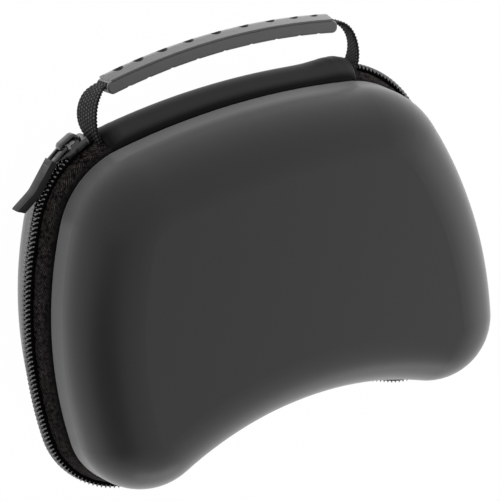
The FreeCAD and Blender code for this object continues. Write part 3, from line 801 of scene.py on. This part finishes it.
# Pull tab. A grey moulded tab, cast round the far end of the link and swayed so that a finger can get
# behind its tip.
TAB_COLOUR = (0.003, 0.003, 0.003)
TAB_LIGHT = (0.006, 0.006, 0.006)
TAB_GLOSS = 0.2
TAB_SHEEN = 0.14
TAB_ROUGHNESS = 0.5
TAB_BLOTCH = 0.002
TAB_GRAIN = 0.0003
TAB_GRAIN_DEPTH = 0.00003
TAB_EDGE = 0.0002

tab_plastic, tab_surface = new_finish("tab_plastic", TAB_COLOUR, TAB_ROUGHNESS, TAB_GLOSS)
tab_surface.inputs["Sheen Weight"].default_value = TAB_SHEEN
tab_blotches = object_noise(tab_plastic, TAB_BLOTCH)
feed(tab_plastic, tab_surface, "Base Color", shade(tab_plastic, tab_blotches, TAB_COLOUR, TAB_LIGHT))
raise_grain(tab_plastic, tab_surface, object_noise(tab_plastic, TAB_GRAIN), TAB_GRAIN_DEPTH)
soften("pull_tab", "pull", tab_plastic, TAB_EDGE)


# Studio. The case lies on a white table in a white tent, darker at one spot on the left and brighter on
# the right. Low softboxes light the rims; the coated skin mirrors only the one that is marked True.
FLOOR_SIZE = 3.0
FLOOR_WHITE = (0.95, 0.95, 0.95)
FLOOR_GLOW = 0.985
TENT_LIGHT = 1.0
DARK_SIDE = Vector((-0.77, -0.31, 0.555))
DARK_LIGHT = 0.0
DARK_EDGE, DARK_CORE = 0.82, 0.96
BRIGHT_SIDE = Vector((0.79, -0.35, 0.5))
BRIGHT_LIGHT = 1.1
BRIGHT_EDGE, BRIGHT_CORE = 0.83, 1.0
SOFTBOX_DISTANCE = 0.8
SOFTBOX_AIM = Vector((0, 0, 0.05))
SOFTBOX_SIZE = 0.6, 0.16
SOFTBOXES = (
    (90, 7, 2.1, False),
    (45, 7, 0.8, False),
    (270, 7, 0.7, True),
)


def seen_rays(owner):
    """1 for rays from the camera, from a mirror or through glass, else 0."""
    rays = add_node(owner, "ShaderNodeLightPath").outputs
    mirrored = reckon(owner, "MAXIMUM", rays["Is Camera Ray"], rays["Is Glossy Ray"])
    return reckon(owner, "MAXIMUM", mirrored, rays["Is Transmission Ray"])


table_top = bpy.data.materials.new("table_top")
table_top.use_nodes = True
table_top.node_tree.nodes.remove(table_top.node_tree.nodes["Principled BSDF"])
paint = add_node(table_top, "ShaderNodeBsdfDiffuse", {"Color": (*FLOOR_WHITE, 1)}).outputs[0]
glow = add_node(table_top, "ShaderNodeEmission", {"Color": (1, 1, 1, 1), "Strength": 1.0}).outputs[0]
glowing = reckon(table_top, "MULTIPLY", seen_rays(table_top), FLOOR_GLOW)
mixed = add_node(table_top, "ShaderNodeMixShader", {0: glowing, 1: paint, 2: glow}).outputs[0]
table_top.node_tree.links.new(mixed, table_top.node_tree.nodes["Material Output"].inputs["Surface"])
floor_mesh = bmesh.new()
bmesh.ops.create_grid(floor_mesh, x_segments=1, y_segments=1, size=FLOOR_SIZE)
floor = bpy.data.meshes.new("floor")
floor_mesh.to_mesh(floor)
floor_mesh.free()
floor.materials.append(table_top)
floor_object = bpy.data.objects.new("floor", floor)
bpy.context.scene.collection.objects.link(floor_object)

tent = bpy.data.worlds.new("tent")
tent.use_nodes = True
bpy.context.scene.world = tent
camera_ray = add_node(tent, "ShaderNodeLightPath").outputs["Is Camera Ray"]
towards = add_node(tent, "ShaderNodeTexCoord").outputs["Generated"]


def facing(side):
    """How nearly a ray points to one side of the tent: the cosine of the angle between them."""
    inputs = {0: towards, 1: side.normalized()}
    return add_node(tent, "ShaderNodeVectorMath", inputs, operation="DOT_PRODUCT").outputs["Value"]


dimmed = spread(tent, facing(DARK_SIDE), TENT_LIGHT, DARK_LIGHT, start=DARK_EDGE, end=DARK_CORE)
lit = spread(tent, facing(BRIGHT_SIDE), 0.0, BRIGHT_LIGHT, start=BRIGHT_EDGE, end=BRIGHT_CORE)
shaded = reckon(tent, "ADD", dimmed, lit)
seen = {"Factor": camera_ray, "A": shaded, "B": 1.0}
tent_strength = add_node(tent, "ShaderNodeMix", seen).outputs[0]
tent_light = tent.node_tree.nodes["Background"]
tent_light.inputs["Color"].default_value = (1, 1, 1, 1)
tent.node_tree.links.new(tent_strength, tent_light.inputs["Strength"])

for azimuth, elevation, watts, mirrored in SOFTBOXES:
    softbox = bpy.data.lights.new("softbox", "AREA")
    softbox.shape = "RECTANGLE"
    softbox.size, softbox.size_y = SOFTBOX_SIZE
    softbox.energy = watts
    lamp = bpy.data.objects.new("softbox", softbox)
    lamp.visible_glossy = mirrored
    bpy.context.scene.collection.objects.link(lamp)
    turn, rise = math.radians(azimuth), math.radians(elevation)
    away = Vector((math.cos(rise) * math.cos(turn), math.cos(rise) * math.sin(turn), math.sin(rise)))
    lamp.location = SOFTBOX_AIM + away * SOFTBOX_DISTANCE
    lamp.rotation_euler = away.to_track_quat("Z", "Y").to_euler()


# Camera. A long lens looks down on the face from the upper left, over the slider's corner, so that the
# zip's left side, the handle and the whole front half show.
CAMERA_PLACE = Vector((-0.26691, 0.21795, 0.62917))
CAMERA_AIM = Vector((0.3939, -0.3134, -0.8641))
CAMERA_UP = Vector((0.2902, 0.9344, -0.2066))
FOCAL_PIXELS = 1860.15
IMAGE_LONG_SIDE = 501
SENSOR = 36.0

lens = bpy.data.cameras.new("camera")
lens.sensor_width = SENSOR
lens.lens = FOCAL_PIXELS / IMAGE_LONG_SIDE * SENSOR
camera = bpy.data.objects.new("camera", lens)
bpy.context.scene.collection.objects.link(camera)
back = -CAMERA_AIM.normalized()
right = CAMERA_UP.cross(back).normalized()
turned = Matrix((right, back.cross(right), back)).transposed().to_4x4()
camera.matrix_world = Matrix.Translation(CAMERA_PLACE) @ turned
bpy.context.scene.camera = camera
bpy.context.scene.view_settings.view_transform = "Standard"
